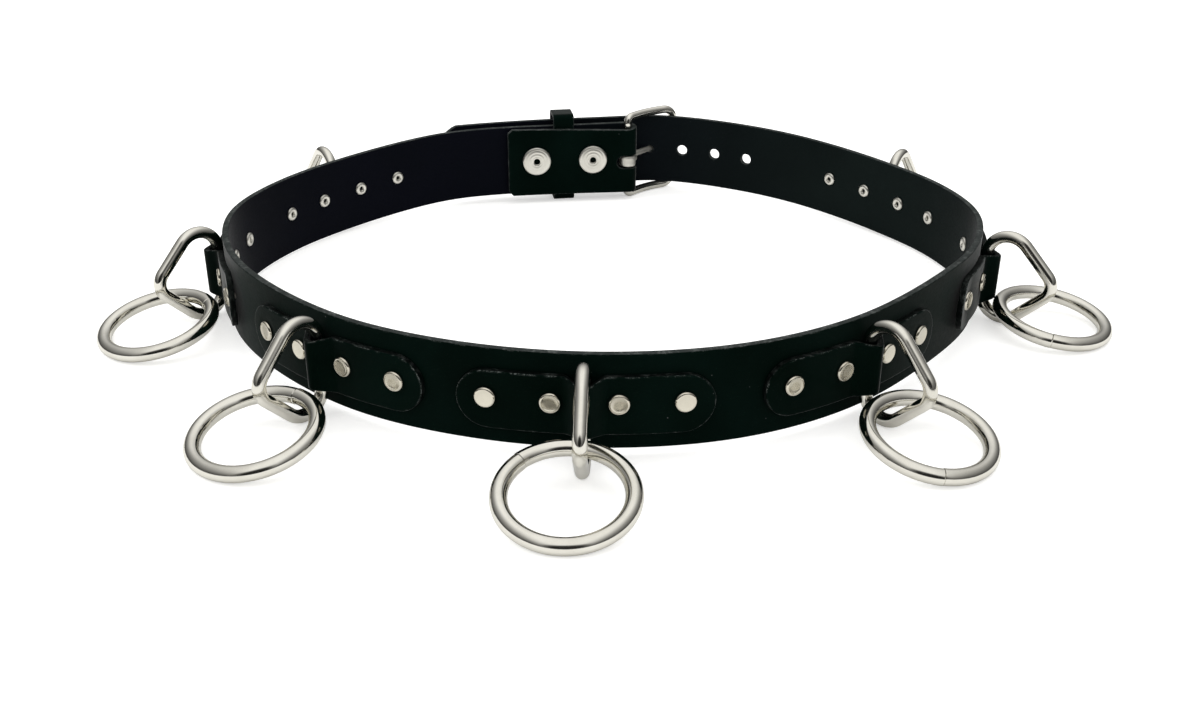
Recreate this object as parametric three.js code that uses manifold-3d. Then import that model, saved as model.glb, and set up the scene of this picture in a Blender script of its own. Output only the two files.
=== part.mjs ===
// Punk belt: one leather strap closed in a loop by a heel-bar buckle, with seven
// riveted leather patches, each holding a D-ring whose O-ring lies on the surface
// that the belt stands on. Millimetres, +Z up, front of the belt towards -Y.
import * as THREE from 'three';
import { mergeVertices } from 'three/addons/utils/BufferGeometryUtils.js';
import Module from 'manifold-3d';

const wasm = await Module();
wasm.setup();

// Driving dimensions
const GAP = 0.3;
const STRAP = { width: 40, thickness: 3, step: 11.5, tipLength: 19, tipEnd: 6, tipCurve: 1.4 };
const HOLES = { diameter: 6, pitch: 20, before: 3, after: 3, prongAt: 135.3, prongStretch: 1.3 };
const FOLD = { length: 70.6, endGap: 1.4, cornerCut: 2.5, trimAtBar: 2.5, trimAtEnd: 0.4, bendSteps: 8 };
const SLOT = { width: 7.6, height: 18.3, fromBar: 6.8, pastBar: 8 };
const PATCH = { length: 98, width: 24.4, thickness: 2.6, height: 19.6, neck: 1.5 };
const BULGE = { halfLength: 8.6, rise: 6.6 };
const RIVET = { inner: 12.6, outer: 37.2, capRadius: 4.15, capHeight: 1.5, shankRadius: 1.3,
  backRadius: 3.1, backHeight: 0.9, height: 20.8, sides: 7 };
const D_RING = { wire: 5.6, halfHeight: 19.9, reach: 31.5, bend: 10.4, apex: 7.5, height: 22.75 };
const O_RING = { radius: 24, wire: 6.6 };
const KEEPER = { width: 12, thickness: 2, height: 51, fromBar: 37.6, corner: 2.6 };
const SNAP = { fromBar: [21, 54.1], height: 20.7, capRadius: 8.3, capHeight: 1.5, dimple: 1.6, shankRadius: 2.2,
  studRadius: 5, footRadius: 5, footHeight: 1.1, slack: 0.75, sides: 10 };
const FRAME = { wire: 3.8, height: 50.6, length: 35.2, angle: 39, heelCorner: 2.6, freeCorner: 6.4,
  bow: 2.5 };
const PRONG = { radius: 1.4, ringWall: 2.6, ringWidth: 6, past: 4.4, over: 3.5 };

// Middle line of the strap in plan, from the point of its tip, round the loop, to
// the buckle's heel bar. lift is how far its lower edge is off the surface.
const ROUTE = [
  { x: -100, y: 118.1, lift: 6.3 },
  { x: -88, y: 125.4, lift: 6.2 },
  { x: -60, y: 134.8, lift: 6.1 },
  { x: -25, y: 143.2, lift: 6 },
  { x: 5, y: 151, lift: 5.2 },
  { x: 30, y: 156.4, lift: 4.9 },
  { x: 50, y: 154, lift: 4.4 },
  { x: 77, y: 144, lift: 3.8 },
  { x: 104, y: 128.6, lift: 3.1 },
  { x: 128, y: 107.6, lift: 2.4 },
  { x: 154, y: 77, lift: 1.4 },
  { x: 174.2, y: 41.6, lift: 1.2 },
  { x: 182, y: 0, lift: 1.6 },
  { x: 170.4, y: -45.2, lift: 2.2 },
  { x: 145.2, y: -83.2, lift: 2.6 },
  { x: 100, y: -130.5, lift: 3.2 },
  { x: 53, y: -155.5, lift: 3.4 },
  { x: 0, y: -163.3, lift: 3.5 },
  { x: -52, y: -155, lift: 3.4 },
  { x: -101, y: -132, lift: 3.2 },
  { x: -148.2, y: -85.3, lift: 2.6 },
  { x: -170, y: -45.3, lift: 2.2 },
  { x: -177.2, y: 0, lift: 1.6 },
  { x: -164, y: 43.7, lift: 1.3 },
  { x: -138, y: 80, lift: 1.9 },
  { x: -104, y: 110.6, lift: 3.5 },
  { x: -84, y: 122, lift: 4.3 },
  { x: -54, y: 129.7, lift: 4.8 },
  { x: -20, y: 136.4, lift: 4.5 },
  { x: 15, y: 141.4, lift: 4.8 },
];

// Where each ring hangs: at is the distance along the strap from the middle of the
// front, positive towards the right of the front view. swing turns both rings about the
// D-ring's bar and nose lifts the D-ring's point. The O-ring's middle lies ringOut from
// the bar and ringSide along the strap, tilted outwards.
const FRONT = { x: -5.5, y: -163.3 };
const STATIONS = [
  { at: -345, swing: -14, nose: 0, ringOut: 37, ringSide: -2, tilt: 10.5 },
  { at: -230, swing: 36, nose: 0, ringOut: 38.4, ringSide: -5.6, tilt: 11.6 },
  { at: -112, swing: 3, nose: 0, ringOut: 38.2, ringSide: -3, tilt: 12 },
  { at: 0, swing: 0, nose: 0, ringOut: 39, ringSide: 4.2, tilt: 13.6 },
  { at: 118, swing: -1, nose: 0, ringOut: 36.4, ringSide: 4, tilt: 11.4 },
  { at: 239, swing: -19, nose: 0, ringOut: 32.7, ringSide: -5.5, tilt: 8.6 },
  { at: 354, swing: 20, nose: 0, ringOut: 37, ringSide: 2, tilt: 10.5 },
];

// Materials
const leather = new THREE.MeshStandardMaterial({ color: 0x16171b, roughness: 0.5, metalness: 0 });
const nickel = new THREE.MeshStandardMaterial({ color: 0xd8d6cf, roughness: 0.16, metalness: 1 });

const radians = THREE.MathUtils.degToRad;
const UP = new THREE.Vector3(0, 0, 1);

// Route of the strap
const route = new THREE.CatmullRomCurve3(ROUTE.map((row) => new THREE.Vector3(row.x, row.y, row.lift)));
route.arcLengthDivisions = 2400;
const routeLength = route.getLength();
const foldRadius = FRAME.wire / 2 + GAP + STRAP.thickness / 2;
const bendLength = Math.PI * foldRadius;

// Frame of the strap at a distance from its tip: point on its middle line at the
// height of its lower edge, along the strap, and outwards through it.
function alongRoute(distance) {
  const share = distance / routeLength;
  const point = route.getPointAt(share);
  const along = route.getTangentAt(share).setZ(0).normalize();
  const out = new THREE.Vector3(-along.y, along.x, 0);
  return { point, along, out };
}

const heel = alongRoute(routeLength);
const heelBar = heel.point.clone().addScaledVector(heel.out, -foldRadius);

// Gap between the strap and the end folded back inside it, by distance from the bar
function foldOffset(fromBar) {
  const end = STRAP.thickness + FOLD.endGap;
  return THREE.MathUtils.lerp(2 * foldRadius, end, fromBar / FOLD.length);
}

// Frame of the strap as alongRoute gives it, carried on round the heel bar and back
// along the inside. out is the grain side of the leather.
function alongStrap(distance) {
  if (distance <= routeLength) return alongRoute(distance);
  const past = distance - routeLength;
  if (past < bendLength) {
    const turn = past / foldRadius;
    const out = heel.out.clone().applyAxisAngle(UP, -turn);
    return { point: heelBar.clone().addScaledVector(out, foldRadius), out };
  }
  const fromBar = past - bendLength;
  const beside = alongRoute(routeLength - fromBar);
  const point = beside.point.clone().addScaledVector(beside.out, -foldOffset(fromBar));
  point.z = heel.point.z;
  return { point, out: beside.out.clone().negate() };
}

function distanceNear(target) {
  const steps = 4000;
  let best = 0;
  let nearest = Infinity;
  for (let i = 0; i <= steps; i++) {
    const point = route.getPointAt(i / steps);
    const away = Math.hypot(point.x - target.x, point.y - target.y);
    if (away < nearest) {
      nearest = away;
      best = (i / steps) * routeLength;
    }
  }
  return best;
}

// The route runs clockwise from above, so the right of the front comes first.
const frontAt = distanceNear(FRONT);
const stationDistance = (at) => frontAt - at;

// Solids
function solid(geometry) {
  geometry.deleteAttribute('normal');
  geometry.deleteAttribute('uv');
  const merged = mergeVertices(geometry, 1e-4);
  const vertProperties = Float32Array.from(merged.attributes.position.array);
  const triVerts = Uint32Array.from(merged.index.array);
  return new wasm.Manifold(new wasm.Mesh({ numProp: 3, vertProperties, triVerts }));
}

function meshOf(name, body, material) {
  const { vertProperties, triVerts } = body.getMesh();
  const geometry = new THREE.BufferGeometry();
  geometry.setAttribute('position', new THREE.BufferAttribute(vertProperties, 3));
  geometry.setIndex(new THREE.BufferAttribute(triVerts, 1));
  geometry.computeVertexNormals();
  const mesh = new THREE.Mesh(geometry, material);
  mesh.name = name;
  return mesh;
}

// A strip lofted from a box: column i of the box goes to sections[i].
function strip(sections, place) {
  const last = sections.length - 1;
  const geometry = new THREE.BoxGeometry(1, 1, 1, last, 1, 1);
  const position = geometry.attributes.position;
  for (let k = 0; k < position.count; k++) {
    const column = Math.round((position.getX(k) + 0.5) * last);
    const v = place(sections[column], position.getY(k), position.getZ(k));
    position.setXYZ(k, v.x, v.y, v.z);
  }
  return geometry;
}

function basis({ point, along, out }, height, outwards) {
  const origin = point.clone().addScaledVector(out, outwards);
  origin.z += height;
  return new THREE.Matrix4().makeBasis(along, out, UP).setPosition(origin);
}

// Hole through leather along the out axis of the frame given
function holeCutter(radius, sides, frame, stretch = 1) {
  const depth = 4 * STRAP.thickness;
  const cutter = new THREE.CylinderGeometry(radius, radius, depth, sides);
  cutter.scale(stretch, 1, 1).applyMatrix4(frame);
  return solid(cutter);
}

// A closed loop of wire along a flat path, whose x is out and y is up, bowed in
// the third direction by a function of x.
class WireLoop extends THREE.Curve {
  constructor(path, bow = () => 0) {
    super();
    this.path = path;
    this.bow = bow;
  }
  getPoint(t, target = new THREE.Vector3()) {
    const { x, y } = this.path.getPoint(t % 1);
    return target.set(this.bow(x), x, y);
  }
}

function wireLoop(curve, wire, steps, sides) {
  return new THREE.TubeGeometry(curve, steps, wire / 2, sides, true);
}

// Strap, in one piece with its tip and its folded end
function tipHalfWidth(fromTip) {
  const full = STRAP.width / 2;
  if (fromTip >= STRAP.tipLength) return full;
  const back = 1 - fromTip / STRAP.tipLength;
  return STRAP.tipEnd / 2 + (full - STRAP.tipEnd / 2) * (1 - back ** STRAP.tipCurve);
}

function strapHalfWidth(distance, whole) {
  const fromEnd = whole - distance;
  const cut = Math.max(0, FOLD.cornerCut - fromEnd);
  return Math.min(tipHalfWidth(distance), STRAP.width / 2 - cut);
}

// How much lower than the strap's the upper edge of its folded end is
function foldTrim(distance) {
  const past = distance - routeLength;
  if (past <= 0) return 0;
  if (past < bendLength) return (FOLD.trimAtBar * past) / bendLength;
  const share = (past - bendLength) / FOLD.length;
  return THREE.MathUtils.lerp(FOLD.trimAtBar, FOLD.trimAtEnd, share);
}

function strapSections(whole) {
  const sections = [0, 0.03, 0.12, 0.3, 0.6, 1].map((share) => share * STRAP.tipLength);
  const count = Math.round((routeLength - STRAP.tipLength) / STRAP.step);
  for (let i = 1; i <= count; i++) {
    sections.push(THREE.MathUtils.lerp(STRAP.tipLength, routeLength, i / count));
  }
  for (let i = 1; i <= FOLD.bendSteps; i++) {
    sections.push(routeLength + (bendLength * i) / FOLD.bendSteps);
  }
  const flapSteps = 6;
  for (let i = 1; i <= flapSteps; i++) {
    sections.push(routeLength + bendLength + ((FOLD.length - FOLD.cornerCut) * i) / flapSteps);
  }
  sections.push(whole);
  return sections;
}

function strap() {
  const whole = routeLength + bendLength + FOLD.length;
  const geometry = strip(strapSections(whole), (distance, n, w) => {
    const { point, out } = alongStrap(distance);
    const trim = w > 0 ? foldTrim(distance) : 0;
    const z = point.z + STRAP.width / 2 + 2 * w * strapHalfWidth(distance, whole) - trim;
    return point.clone().addScaledVector(out, n * STRAP.thickness).setZ(z);
  });
  let body = solid(geometry);
  for (const cutter of [...rivetCutters(0), ...adjustmentHoles(), ...snapCutters(), prongSlot()]) {
    body = body.subtract(cutter);
  }
  return body;
}

function adjustmentHoles() {
  const cutters = [];
  for (let k = -HOLES.before; k <= HOLES.after; k++) {
    const frame = basis(alongRoute(HOLES.prongAt + k * HOLES.pitch), STRAP.width / 2, 0);
    const stretch = k === 0 ? HOLES.prongStretch : 1;
    cutters.push(holeCutter(HOLES.diameter / 2, 10, frame, stretch));
  }
  return cutters;
}

function prongSlot() {
  const length = SLOT.fromBar + SLOT.pastBar;
  const box = new THREE.BoxGeometry(length, 4 * foldRadius, SLOT.width);
  box.translate(SLOT.pastBar - length / 2, 0, 0);
  const frame = basis({ ...heel, point: heelBar }, SLOT.height, 0);
  return solid(box.applyMatrix4(frame));
}

function snapCutters() {
  return SNAP.fromBar.map((fromBar) => {
    const frame = basis(alongRoute(routeLength - fromBar), SNAP.height, -STRAP.thickness);
    const cutter = new THREE.CylinderGeometry(1, 1, 6 * STRAP.thickness, 8);
    const radius = SNAP.shankRadius + 2 * GAP;
    return solid(cutter.scale(radius, 1, radius).applyMatrix4(frame));
  });
}

// Patches, each a strip with round ends that rises over its D-ring's bar
function rivetPlaces(station) {
  return [-RIVET.outer, -RIVET.inner, RIVET.inner, RIVET.outer].map((t) =>
    stationDistance(station.at + t));
}

function patchRise(t) {
  if (Math.abs(t) >= BULGE.halfLength) return GAP;
  return GAP + (BULGE.rise * (1 + Math.cos((Math.PI * t) / BULGE.halfLength))) / 2;
}

function patchHalfWidth(t) {
  const half = PATCH.width / 2;
  const toEnd = PATCH.length / 2 - Math.abs(t);
  if (toEnd < half) return Math.sqrt(half * half - (half - toEnd) ** 2) + 1.2;
  return half - (PATCH.neck * (patchRise(t) - GAP)) / BULGE.rise;
}

function patchSections() {
  const half = [1.5, 3.2, 5, 6.8, 8.6, 18, 27.5, PATCH.length / 2 - 12.2,
    PATCH.length / 2 - 6, PATCH.length / 2 - 2, PATCH.length / 2];
  return [...half.map((t) => -t).reverse(), 0, ...half];
}

function patch(station) {
  const geometry = strip(patchSections(), (t, n, w) => {
    const { point, out } = alongRoute(stationDistance(station.at - t));
    const outwards = STRAP.thickness / 2 + patchRise(t) + (n + 0.5) * PATCH.thickness;
    const z = point.z + PATCH.height + 2 * w * Math.min(patchHalfWidth(t), PATCH.width / 2);
    return point.clone().addScaledVector(out, outwards).setZ(z);
  });
  let body = solid(geometry);
  for (const cutter of rivetCutters(PATCH.thickness, station)) {
    body = body.subtract(cutter);
  }
  return body;
}

function rivetCutters(outwards, only = null) {
  const rows = only ? [only] : STATIONS;
  return rows.flatMap(rivetPlaces).map((distance) =>
    holeCutter(RIVET.shankRadius + 0.8, 5, basis(alongRoute(distance), RIVET.height, outwards)));
}

// Rivets, turned about the axis that runs out through the strap
function rivet(distance) {
  const capFoot = 2 * GAP + PATCH.thickness;
  const backFoot = -STRAP.thickness - GAP;
  const profile = [
    [0, capFoot + RIVET.capHeight],
    [RIVET.capRadius, capFoot + 0.45 * RIVET.capHeight],
    [RIVET.capRadius, capFoot],
    [RIVET.shankRadius, capFoot],
    [RIVET.shankRadius, backFoot],
    [RIVET.backRadius, backFoot],
    [RIVET.backRadius, backFoot - RIVET.backHeight],
    [0, backFoot - RIVET.backHeight],
  ];
  const geometry = lathe(profile, RIVET.sides);
  return solid(geometry.applyMatrix4(basis(alongRoute(distance), RIVET.height, STRAP.thickness / 2)));
}

// Rows run from the outer end of the axis to the inner end.
function lathe(profile, sides) {
  const points = profile.map(([radius, height]) => new THREE.Vector2(radius, height));
  return new THREE.LatheGeometry(points.reverse(), sides);
}

// D-rings: a straight bar, two bends and two arms that meet in a round point
function dRingPath() {
  const { halfHeight, reach, bend, apex } = D_RING;
  const centre = new THREE.Vector2(bend, halfHeight - bend);
  const point = new THREE.Vector2(reach - apex, 0);
  const arm = point.clone().sub(centre);
  const armAngle = Math.atan2(arm.y, arm.x);
  const normal = armAngle + Math.PI / 2 - Math.asin((bend - apex) / arm.length());
  const path = new THREE.Path();
  path.moveTo(0, -centre.y);
  path.lineTo(0, centre.y);
  path.absarc(centre.x, centre.y, bend, Math.PI, normal, true);
  path.absarc(point.x, 0, apex, normal, -normal, true);
  path.absarc(centre.x, -centre.y, bend, -normal, -Math.PI, true);
  return path;
}

const barOffset = GAP + D_RING.wire / 2;

function barFrame(station) {
  const { point, along, out } = alongRoute(stationDistance(station.at));
  const frame = basis({ point, along, out }, D_RING.height - point.z, STRAP.thickness / 2 + barOffset);
  return frame;
}

function dRing(station) {
  const geometry = wireLoop(new WireLoop(dRingPath()), D_RING.wire, 20, 6);
  geometry.rotateX(radians(station.nose)).rotateZ(radians(station.swing));
  return solid(geometry.applyMatrix4(barFrame(station)));
}

// O-rings, linked through the D-rings, their outer edge on the surface and their
// inner side over the D-ring's lower arm
function oRing(station) {
  const tilt = radians(station.tilt);
  const geometry = new THREE.TorusGeometry(O_RING.radius, O_RING.wire / 2, 6, 18);
  geometry.rotateX(-tilt);
  const height = O_RING.wire / 2 + O_RING.radius * Math.sin(tilt) - D_RING.height;
  geometry.translate(station.ringSide, station.ringOut, height).rotateZ(radians(station.swing));
  return solid(geometry.applyMatrix4(barFrame(station)));
}

// Keeper, a loop of thinner leather round the strap and its tip
function keeper() {
  const beside = alongRoute(routeLength - KEEPER.fromBar);
  const inner = -STRAP.thickness / 2 - GAP - KEEPER.thickness;
  const tipAt = distanceNearTip(beside);
  const outer = tipAt + STRAP.thickness / 2 + GAP + KEEPER.thickness;
  const outline = roundedBox(inner, outer, 0, KEEPER.height, KEEPER.corner);
  const wall = KEEPER.thickness;
  const inside = KEEPER.corner - wall;
  outline.holes.push(roundedBox(inner + wall, outer - wall, wall, KEEPER.height - wall, inside));
  const geometry = new THREE.ExtrudeGeometry(outline,
    { depth: KEEPER.width, bevelEnabled: false, curveSegments: 3 });
  // The outline's x is out and its y is up, so its depth runs back along the strap.
  geometry.translate(0, 0, -KEEPER.width / 2);
  const frame = new THREE.Matrix4().makeBasis(beside.out, UP, beside.along);
  frame.setPosition(beside.point.clone().setZ(0));
  return solid(geometry.applyMatrix4(frame));
}

// How far outside the strap's middle line that of its tip runs, at the same place
function distanceNearTip({ point, out }) {
  let most = 0;
  for (let distance = 0; distance < HOLES.prongAt; distance += 0.5) {
    const across = route.getPointAt(distance / routeLength).sub(point).setZ(0);
    const away = across.dot(out);
    if (across.length() < Math.abs(away) + KEEPER.width / 2) most = Math.max(most, away);
  }
  return most;
}

function roundedBox(x0, x1, y0, y1, radius, radius1 = radius) {
  const shape = new THREE.Shape();
  shape.absarc(x1 - radius1, y1 - radius1, radius1, 0, Math.PI / 2);
  shape.absarc(x0 + radius, y1 - radius, radius, Math.PI / 2, Math.PI);
  shape.absarc(x0 + radius, y0 + radius, radius, Math.PI, 1.5 * Math.PI);
  shape.absarc(x1 - radius1, y0 + radius1, radius1, 1.5 * Math.PI, 2 * Math.PI);
  shape.closePath();
  return shape;
}

// Snap, its cap on the folded end and its foot behind the strap
function snap(fromBar) {
  const flap = foldOffset(fromBar);
  const half = STRAP.thickness / 2;
  const capFoot = -flap - half - SNAP.slack;
  const profile = [
    [0, half + GAP + SNAP.footHeight],
    [SNAP.footRadius, half + GAP + SNAP.footHeight],
    [SNAP.footRadius, half + GAP],
    [SNAP.shankRadius, half + GAP],
    [SNAP.shankRadius, -half - GAP],
    [SNAP.studRadius, -half - GAP],
    [SNAP.studRadius, -flap + half + SNAP.slack],
    [SNAP.shankRadius, -flap + half + SNAP.slack],
    [SNAP.shankRadius, capFoot],
    [SNAP.capRadius, capFoot],
    [SNAP.capRadius, capFoot - 0.5 * SNAP.capHeight],
    [0.7 * SNAP.capRadius, capFoot - SNAP.capHeight],
    [SNAP.dimple, capFoot - 0.8 * SNAP.capHeight],
    [SNAP.dimple, capFoot],
    [0, capFoot],
  ];
  const frame = basis(alongRoute(routeLength - fromBar), SNAP.height, 0);
  return solid(lathe(profile, SNAP.sides).applyMatrix4(frame));
}

// Buckle frame: a heel bar and a free bar joined by two bowed sides
const frameOut = new THREE.Vector3(Math.cos(radians(FRAME.angle)), Math.sin(radians(FRAME.angle)), 0);
const frameSide = new THREE.Vector3(-frameOut.y, frameOut.x, 0);
const frameMiddle = FRAME.height / 2;

function buckleFrame() {
  const half = FRAME.height / 2 - FRAME.wire / 2;
  const path = roundedBox(0, FRAME.length, -half, half, FRAME.heelCorner, FRAME.freeCorner);
  const bow = (x) => FRAME.bow * Math.sin((Math.PI * x) / FRAME.length);
  const geometry = wireLoop(new WireLoop(path, bow), FRAME.wire, 36, 6);
  const matrix = new THREE.Matrix4().makeBasis(frameSide, frameOut, UP.clone().negate());
  matrix.setPosition(heelBar.clone().setZ(frameMiddle));
  return solid(geometry.applyMatrix4(matrix));
}

// Prong: a ring round the heel bar and a bent shaft through the strap, whose point
// lies over the free bar
function buckleProng() {
  const bore = FRAME.wire / 2 + GAP;
  const ring = new THREE.Shape().absarc(0, 0, bore + PRONG.ringWall, 0, 2 * Math.PI);
  ring.holes.push(new THREE.Path().absarc(0, 0, bore, 0, 2 * Math.PI));
  const collar = new THREE.ExtrudeGeometry(ring,
    { depth: PRONG.ringWidth, bevelEnabled: false, curveSegments: 6 });
  const middle = heelBar.clone().setZ(heel.point.z + SLOT.height);
  collar.translate(middle.x, middle.y, middle.z - PRONG.ringWidth / 2);

  const hole = alongRoute(HOLES.prongAt);
  const through = hole.point.clone();
  through.z += STRAP.width / 2;
  const lead = through.clone().sub(middle).normalize();
  const start = middle.clone().addScaledVector(lead, bore + PRONG.radius);
  const past = through.clone().addScaledVector(lead, PRONG.past);
  const freeBar = heelBar.clone().addScaledVector(frameOut, FRAME.length).setZ(frameMiddle);
  const clear = FRAME.wire / 2 + GAP + PRONG.radius;
  const overBar = freeBar.clone().addScaledVector(frameSide, clear + 0.3);
  const point = overBar.clone().addScaledVector(frameOut, PRONG.over);
  const shaft = new THREE.CatmullRomCurve3([start, through, past, overBar, point]);
  const round = new THREE.Shape().absarc(0, 0, PRONG.radius, 0, 2 * Math.PI);
  const bar = new THREE.ExtrudeGeometry(round, { steps: 12, extrudePath: shaft, curveSegments: 3 });
  return solid(collar).add(solid(bar));
}

// Assembly
const group = new THREE.Group();
group.add(meshOf('strap', strap(), leather));
group.add(meshOf('keeper', keeper(), leather));
group.add(meshOf('buckle_frame', buckleFrame(), nickel));
group.add(meshOf('buckle_prong', buckleProng(), nickel));
SNAP.fromBar.forEach((fromBar, i) => {
  group.add(meshOf(`snap_${i + 1}`, snap(fromBar), nickel));
});
STATIONS.forEach((station, i) => {
  const number = i + 1;
  const cluster = new THREE.Group();
  cluster.add(meshOf(`ring_patch_${number}`, patch(station), leather));
  cluster.add(meshOf(`d_ring_${number}`, dRing(station), nickel));
  cluster.add(meshOf(`o_ring_${number}`, oRing(station), nickel));
  rivetPlaces(station).forEach((distance, j) => {
    cluster.add(meshOf(`rivet_${number}_${j + 1}`, rivet(distance), nickel));
  });
  group.add(cluster);
});

// The origin goes under the middle of the whole belt, on the surface.
const box = new THREE.Box3().setFromObject(group);
const centre = box.getCenter(new THREE.Vector3());
group.position.set(-centre.x, -centre.y, -box.min.z);

export default group;
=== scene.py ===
"""Looks of the punk belt: smooth black leather, riveted patches and polished nickel rings."""
import math

import bmesh
import bpy
import numpy as np
from mathutils import Matrix, Vector


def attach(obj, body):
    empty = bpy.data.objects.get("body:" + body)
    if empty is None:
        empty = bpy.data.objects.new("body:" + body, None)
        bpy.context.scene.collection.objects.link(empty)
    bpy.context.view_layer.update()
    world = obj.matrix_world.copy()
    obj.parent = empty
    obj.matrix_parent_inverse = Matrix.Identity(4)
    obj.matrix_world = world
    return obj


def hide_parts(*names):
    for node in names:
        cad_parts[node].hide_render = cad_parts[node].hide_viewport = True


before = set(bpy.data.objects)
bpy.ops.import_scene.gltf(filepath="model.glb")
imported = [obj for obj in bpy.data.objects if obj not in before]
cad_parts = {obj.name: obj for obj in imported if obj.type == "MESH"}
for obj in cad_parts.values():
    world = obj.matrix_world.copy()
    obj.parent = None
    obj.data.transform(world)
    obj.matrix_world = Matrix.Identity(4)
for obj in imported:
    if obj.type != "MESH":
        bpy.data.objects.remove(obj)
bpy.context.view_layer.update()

# Lengths are in millimetres and in the belt's own plan, and become metres in the
# frame when a mesh is made.
MM = 0.001
SHIFT = np.array([-4.666, 33.392, 0.0])
SIDEWAYS, UP = np.array([1.0, 0.0, 0.0]), np.array([0.0, 0.0, 1.0])

# GAP is the clearance where pieces meet. Distances along the strap start at its tip, and
# heights at its lower edge, but for D_HEIGHT, which is over the floor.
GAP = 0.3
WIDTH, THICK = 40.0, 3.0
TIP_LENGTH, TIP_END, TIP_CURVE = 19.0, 6.0, 1.4
FOLD_LENGTH, FOLD_END_GAP, CORNER_CUT, TRIM_AT_BAR, TRIM_AT_END = 70.6, 1.4, 2.5, 2.5, 0.4
SLOT_WIDTH, SLOT_REACH, SLOT_HEIGHT = 7.6, 6.8, 18.3
HOLE_RADIUS, HOLE_PITCH = 3.0, 20.0
PRONG_AT, PRONG_HOLE, PRONG_STRETCH = 135.3, 1.9, 1.15
PATCH = {"length": 98.0, "width": 24.4, "thick": 2.6, "height": 19.6, "neck": 1.5}
BULGE_HALF, BULGE_RISE = 8.6, 6.6
# Patches of which one end, backwards or forwards along the strap, stands off it
LIFTED_ENDS = {2: -1, 6: 1}
END_LIFT, LIFT_FROM = 3.0, 33.0
RIVET_SPOTS = (-37.2, -12.6, 12.6, 37.2)
RIVET_HEIGHT = 20.8
D_WIRE, D_HALF, D_REACH, D_BEND, D_APEX, D_HEIGHT = 5.6, 19.9, 31.5, 10.4, 7.5, 22.75
O_RADIUS, O_WIRE = 24.0, 6.6
KEEPER = {"width": 12.0, "thick": 2.0, "height": 51.0, "from_bar": 37.6, "corner": 2.2,
          "round": 0.45}
SNAPS_FROM_BAR, SNAP_HEIGHT = (21.0, 54.1), 20.7
FRAME = {"wire": 3.8, "height": 50.6, "length": 35.2, "angle": 39.0, "heel": 3.2, "free": 6.6,
         "bow": 2.5, "rail": 2.35}

# Middle line of the strap from its tip to the heel bar: x, y and the height of its lower edge
ROUTE = [
    (-100, 118.1, 6.3), (-88, 125.4, 6.2), (-60, 134.8, 6.1), (-25, 143.2, 6), (5, 151, 5.2),
    (30, 156.4, 4.9), (50, 154, 4.4), (77, 144, 3.8), (104, 128.6, 3.1), (128, 107.6, 2.4),
    (154, 77, 1.4), (174.2, 41.6, 1.2), (182, 0, 1.6), (170.4, -45.2, 2.2), (145.2, -83.2, 2.6),
    (100, -130.5, 3.2), (53, -155.5, 3.4), (0, -163.3, 3.5), (-52, -155, 3.4), (-101, -132, 3.2),
    (-148.2, -85.3, 2.6), (-170, -45.3, 2.2), (-177.2, 0, 1.6), (-164, 43.7, 1.3),
    (-138, 80, 1.9), (-104, 110.6, 3.5), (-84, 122, 4.3), (-54, 129.7, 4.8), (-20, 136.4, 4.5),
    (15, 141.4, 4.8),
]

# The middle of the front, and each station's place along the strap from there, the swing
# of its D-ring, how far out and aside its O-ring lies, and that ring's tilt and the place
# of its butt seam. Angles are in degrees.
FRONT = (-5.5, -163.3)
STATIONS = [
    (-345, -14, 37, -2, 10.5, 200),
    (-230, 36, 38.4, -5.6, 11.6, 250),
    (-112, 3, 38.2, -3, 12, 274),
    (0, 0, 39, 4.2, 13.6, 318),
    (118, -1, 36.4, 4, 11.4, 52),
    (239, -19, 32.7, -5.5, 8.6, 20),
    (354, 20, 37, 2, 10.5, 130),
]


# The strap's line

RAW_STEPS, GRID_POINTS, FRONT_POINTS = 6000, 2400, 4001


def unit(rows):
    return rows / np.linalg.norm(rows, axis=-1)[..., None]


def spline(rows, count):
    """Centripetal Catmull-Rom curve through the rows, at count + 1 even parameters."""
    p = np.array(rows, float)
    p = np.vstack([2 * p[0] - p[1], p, 2 * p[-1] - p[-2]])
    u = np.linspace(0, len(rows) - 1, count + 1)
    i = np.minimum(u.astype(int), len(rows) - 2)
    w = (u - i)[:, None]
    p0, p1, p2, p3 = (p[i + k] for k in range(4))
    pairs = ((p0, p1), (p1, p2), (p2, p3))
    d0, d1, d2 = (((b - a) ** 2).sum(1)[:, None] ** 0.25 for a, b in pairs)
    m1 = ((p1 - p0) / d0 - (p2 - p0) / (d0 + d1) + (p2 - p1) / d1) * d1
    m2 = ((p2 - p1) / d1 - (p3 - p1) / (d1 + d2) + (p3 - p2) / d2) * d1
    return p1 + m1 * w + (3 * (p2 - p1) - 2 * m1 - m2) * w**2 + (2 * (p1 - p2) + m1 + m2) * w**3


def lengths(points):
    """How far along a line each of its points is."""
    return np.r_[0, np.cumsum(np.linalg.norm(np.diff(points, axis=0), axis=1))]


def at_lengths(where, marks, rows):
    """Rows read off between their marks, at the places where."""
    return np.stack([np.interp(where, marks, rows[:, k]) for k in range(rows.shape[1])], -1)


RAW = spline(ROUTE, RAW_STEPS)
RAW_AT = lengths(RAW)
LENGTH = RAW_AT[-1]
GRID = np.linspace(0, LENGTH, GRID_POINTS)


def softened(rows, spread=16, reach=60):
    """Rows smoothed along the line, with their two ends kept in place."""
    before = 2 * rows[0] - rows[reach:0:-1]
    after = 2 * rows[-1] - rows[-2:-reach - 2:-1]
    kernel = np.exp(-0.5 * (np.arange(-reach, reach + 1) / spread) ** 2)
    padded = np.vstack([before, rows, after])
    columns = [np.convolve(padded[:, k], kernel / kernel.sum(), "valid") for k in range(3)]
    return np.stack(columns, 1)


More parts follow.
